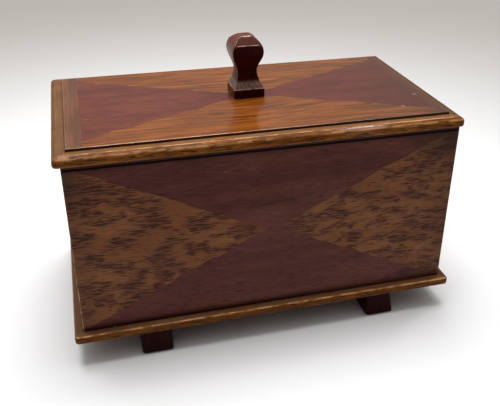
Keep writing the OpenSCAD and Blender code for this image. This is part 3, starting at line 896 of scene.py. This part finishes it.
def add_flecks(axis, chains):
    """Cuts a veneer's mesh into a grid and marks on it where the flecks are."""
    spans = []
    for chain in chains:
        points = [Vector((x / FLECK_STRETCH, up)) for x, up, _ in chain]
        thick = [point[2] for point in chain]
        spans += zip(points, points[1:], thick, thick[1:])

    def paint(bm):
        for way, pitch in ((axis, 2.0), (2, 1.5)):
            low, high = extent(bm, way)
            cut_across(bm, way, [low + i * pitch for i in range(1, int((high - low) / pitch))])
        layer = bm.verts.layers.float.new("flecks")
        for v in bm.verts:
            v[layer] = fleck_density(v.co[axis], v.co.z - wall_lo.z, spans)
    return paint


def body_corner(mid, direction):
    """Upright outer edge of a wall's veneer at a corner of the body."""
    at_corner = abs(mid.x) > wall_hi.x - 0.1 and abs(mid.y) > wall_hi.y - 0.1
    return at_corner and abs(direction.z) > 0.999


for side, axis, sign in (("front", 1, -1), ("back", 1, 1), ("left_end", 0, -1), ("right_end", 0, 1)):
    level = 1 - axis
    golden = ("left", "right") if level == 0 else ("front", "back")

    def on_face(mid, direction, axis=axis, sign=sign):
        return abs(sign * mid[axis] - wall_hi[axis]) < 0.01

    parts = golden + ("upper", "lower")
    pattern = ["%s_%s_veneer" % (side, part) for part in parts]
    saw = sawn_joints(pattern, level, 2, 1.1, (-106.0, 16.0, 5, 0.8) if side == "front" else None)
    for part, node in zip(parts, pattern):
        bevels = [(on_face, 0.07, 1)]
        if part not in golden:
            softened(node, MAHOGANY[level], bevels, saw=saw)
            continue
        if level == 0:
            bevels = [(body_corner, 0.8, 4)] + bevels
        if side == "front":
            chains = FRONT_CHAINS[part]
        else:
            span = (-wall_hi[level], 0) if part == golden[0] else (0, wall_hi[level])
            chains = loose_chains("%s %s" % (side, part), *span)
        softened(node, FLECKED[level], bevels, add_flecks(level, chains), saw)


def on_rim(mid, direction):
    """Upper outer edge of the lid's panel."""
    at_side = abs(mid.x - LID_X) > panel_hi.x - LID_X - 0.01 or abs(mid.y) > panel_hi.y - 0.01
    return at_side and mid.z > panel_hi.z - 0.01


def on_top(mid, direction):
    """Other edges of the lid's veneers on their upper face, apart from the screw's hole."""
    return mid.z > panel_hi.z - 0.01 and (mid.xy - Vector((KNOB_X, KNOB_Y))).length > 4


lid_pattern = ["lid_%s_veneer" % part for part in ("left", "right", "front", "back")]
lid_saw = sawn_joints(lid_pattern, 0, 1, 1.8, (-91.0, 22.0, 3, 2.9))
for nodes, slot, look, saw in ((lid_pattern[:2], "red_veneer", LID_RED, lid_saw),
                               (lid_pattern[2:], "orange_veneer", LID_ORANGE, lid_saw),
                               (("lid_left_band", "lid_right_band"), "band_veneer", LID_BAND, None)):
    for node in nodes:
        softened(node, look, [(on_rim, 0.35, 3), (on_top, 0.05, 1)], saw=saw)


# Boards, strips and feet


def any_edge(mid, direction):
    return True


def is_steep(mid, direction):
    """Edge that runs up a foot."""
    return abs(direction.z) > 0.5


# Place of the mount on each foot's sole, 6 mm beside the middle of its screw hole
MOUNT_X, MOUNT_Y = 71.3, 60.9


def at_sole(mid, direction):
    """Edge of a foot's sole or of its screw hole, more than 5 mm from the mount."""
    from_mount = Vector((abs(mid.x) - MOUNT_X, abs(mid.y) - MOUNT_Y)).length
    return mid.z < 1.3 and abs(direction.z) < 0.05 and from_mount > 5.0


def on_wall_top(mid, direction):
    return mid.z > wall_hi.z - 0.01


for name, axis in (("front", 0), ("back", 0), ("left_end", 1), ("right_end", 1)):
    softened(name + "_board", PLAIN[axis], [(on_wall_top, 0.3, 2)])
for name, axis in (("front", 0), ("back", 0), ("left", 1), ("right", 1)):
    softened("lid_strip_" + name, PLAIN[axis], [(any_edge, 0.4, 2)])
for name in ("front_left", "front_right", "back_left", "back_right"):
    softened("foot_" + name, DARK, [(is_steep, 1.8, 5), (at_sole, 0.7, 3)])


# Knob


def knob_rows():
    """Rows of the knob as (half width, half depth, height, {layer: value})."""
    half = (knob_hi.x - knob_lo.x) / 2
    height = knob_hi.z - knob_lo.z
    # Heights of the block, the slope above it, the narrowest and widest parts and the crease
    block, slope, narrow = 6.0, 10.4, 16.6
    widest, crease = height - 9.9, height - 4.9
    # Half widths of the neck and of its foot, and half width and depth of the crown
    neck, foot_of_neck = 6.4, 7.7
    crown_w, crown_d = 3.1, 4.5
    rows = [(half - 0.4, 0.0, {}), (half, 0.4, {}), (half, block - 0.5, {}),
            (half - 0.12, block - 0.12, {"edge": 0.9}),
            (half - 0.45, block + 0.2, {"edge": 0.3, "dirt_and_shade": 0.3})]
    rows += [(half - 0.3 + (foot_of_neck + 0.3 - half) * t, block + (slope - block) * t, {"dirt_and_shade": g})
             for t, g in ((0.25, 0.9), (0.5, 1.0), (0.75, 1.0), (0.95, 0.8))]
    for t in portions(12):
        w = neck + (foot_of_neck - neck) * (1 - math.sin(math.pi / 2 * t))
        rows.append((w, slope + t * (narrow - slope), {"dirt_and_shade": max(0.0, 0.6 - 3 * t)}))
    for t in portions(18):
        w = neck + (half - neck) * (1 - math.cos(math.pi * t)) / 2
        rows.append((w, narrow + t * (widest - narrow), {}))
    rows = [(w, w, z, v) for w, z, v in rows]
    # Above the widest part the sides are a dome, and the front and back lean in from a crease
    top = math.acos(crown_w / half)
    heights = [widest + (height - widest) * math.sin(top * t) / math.sin(top) for t in portions(16)]
    extra = [crease - 0.35, crease, crease + 0.35, height - 0.3, height - 0.08]
    heights = sorted(heights[:-1] + extra)
    for z in heights:
        a = math.asin((z - widest) / (height - widest) * math.sin(top))
        w, d = half * math.cos(a), half
        if z > crease:
            d += (crown_d - half) * (z - crease) / (height - crease)
        if abs(z - crease) < 0.4:
            d -= 0.14 - 0.3 * abs(z - crease)
        if z > height - 0.4:
            inwards = 0.5 * (z - height + 0.4)
            w, d = w - inwards, d - inwards
        rows.append((w, d, z, {}))
    rows.append((crown_w - 0.7, crown_d - 0.7, height, {}))
    return rows, crease, height


# Number of parts that a side and a round corner of the knob's rows are made of
SIDE_PARTS, TURN_PARTS = 8, 4


def knob():
    bm = bmesh.new()
    layers = layers_of(bm)
    sizes, crease, height = knob_rows()
    rows, middles = [], []
    for w, d, z, values in sizes:
        # The neck and the head stand a little to the left of the block
        lean = limited((z - 8.0) / 14.0)
        middle = Vector((KNOB_X - 0.6 * lean * lean * (3 - 2 * lean), KNOB_Y))
        radius = min(0.45, 0.8 * w, 0.8 * d)
        # The facets' arrises are sharp and the sides' upper arrises are worn round
        round_off = 2.6 * limited((z - crease + 3.6) / 3.6) ** 2 if z <= crease else 0.0
        points = []
        for p in ring(middle, w, d, radius, SIDE_PARTS, SIDE_PARTS, TURN_PARTS):
            shift = 0.12 * (0.5 + 0.5 * noise.noise(Vector((p.x / 4, p.y / 4, z / 5))))
            inward = (middle - p).normalized() * shift
            out = abs(p.x - middle.x) / w
            if out > 0.6 and abs(p.y - middle.y) > d - 0.6:
                inward.y += math.copysign(round_off * ((out - 0.6) / 0.4) ** 2 * 0.3, middle.y - p.y)
            points.append(Vector((p.x + inward.x, p.y + inward.y, knob_lo.z + z)))
        rows.append((points, values))
        middles.append(middle)
    made = skin(bm, rows, layers)
    # Light lines on the facets' edges, worn and painted highlights, and lighter brown on the head's
    # sides and facets: wear from handling and painted sheen
    for row, middle, (w, d, z, values) in zip(made, middles, sizes):
        for i, v in enumerate(row):
            on_front = abs(v.co.y - middle.y) > d - 0.3
            on_arris = i % (SIDE_PARTS + TURN_PARTS) == TURN_PARTS // 2
            if on_front and (abs(z - crease) < 0.3 or z > height - 0.35 and z < height):
                v[layers["edge"]] = 1.0
            if on_arris and (z > crease or 5.5 < z < 10.0):
                v[layers["edge"]] = 0.9
            if not on_front:
                v[layers["bare_and_sheen"]] = limited((z - 14.0) / 14.0, 0.15)
                v[layers["gloss"]] = 0.35 + 0.65 * limited((z - 10.0) / 10.0)
            elif z > crease - 0.1:
                v[layers["bare_and_sheen"]] = 0.22
                v[layers["gloss"]] = 0.03
    bm.faces.new(made[0])
    bm.faces.new(made[-1])
    finish_piece(bm, "knob_piece", "knob", "lid", DARK, 50)


knob()

# The screws keep their CAD meshes
for name in ("foot_screws", "base_screws", "knob_screw"):
    screws = frame["nodes"][name]
    screws.data.materials.clear()
    screws.data.materials.append(STEEL)


# Floor, light and camera

# The floor reaches 15 metres each way and lies just under the soles
floor_mesh = bpy.data.meshes.new("floor")
floor_bm = bmesh.new()
bmesh.ops.create_grid(floor_bm, x_segments=8, y_segments=8, size=15.0)
bmesh.ops.translate(floor_bm, vec=(0.0, 0.0, -0.1 * MM), verts=floor_bm.verts)
floor_bm.to_mesh(floor_mesh)
floor_bm.free()
floor = new_object("floor", floor_mesh)
pale = Look("pale_floor")
# The paper is a little warmer away from the box
away = pale.step(pale.vec("LENGTH", pale.place), 300.0, 900.0)
pale.colour = pale.mix(away, rgb(236, 238, 241), rgb(247, 244, 240))
floor_mesh.materials.append(pale.shade(Roughness=0.7, Specular_IOR_Level=0.2))

world = bpy.data.worlds.new("studio")
sky = Tree(world)
sky_y, sky_z = sky.split(sky.add("TexCoord").outputs["Generated"])[1:]
# Brighter towards the top, and dim on the side that the box faces
light = sky.times(sky.step(sky_z, 0.3, 0.95, 0.23, 0.9), sky.step(sky_y, -0.9, 0.1, 0.36, 1.0))
# The backdrop itself looks pale from every side
backdrop = sky.times(sky.add("LightPath").outputs["Is Camera Ray"], 0.7)
glow = {"Color": (1.0, 0.965, 0.93, 1.0), "Strength": sky.larger(light, backdrop)}
sky.add("OutputWorld", {"Surface": sky.add("Background", glow).outputs["Background"]})
bpy.context.scene.world = world


def softbox(name, place, aim, width, depth, power, spread=180.0):
    """Soft rectangular light. Places are in millimetres."""
    data = bpy.data.lights.new(name, "AREA")
    data.shape = "RECTANGLE"
    data.size, data.size_y = width * MM, depth * MM
    data.energy = power
    data.spread = math.radians(spread)
    data.color = (1.0, 0.985, 0.965)
    lamp = new_object(name, data)
    lamp.location = Vector(place) * MM
    lamp.rotation_euler = (Vector(aim) - Vector(place)).to_track_quat("-Z", "Y").to_euler()
    lamp.visible_camera = False


softbox("overhead", (-40, 130, 890), (-20, 50, 60), 600, 600, 2.2, 80.0)
# Mirrored in the lid's front edge
softbox("glint", (372, 100, 900), (53, -70, 142), 80, 80, 0.8)

# The camera was fitted to the edges of the box in the photograph
camera_data = bpy.data.cameras.new("camera")
camera_data.sensor_width = 36.0
camera_data.lens = 49.4004
camera_data.shift_x, camera_data.shift_y = -0.03898, -0.02634
camera = new_object("camera", camera_data)
camera.location = Vector((-105.071, -420.994, 300.710)) * MM
camera.rotation_euler = Euler([math.radians(v) for v in (62.2846, -0.6614, -15.7337)])
bpy.context.scene.camera = camera
bpy.context.scene.view_settings.view_transform = "Standard"
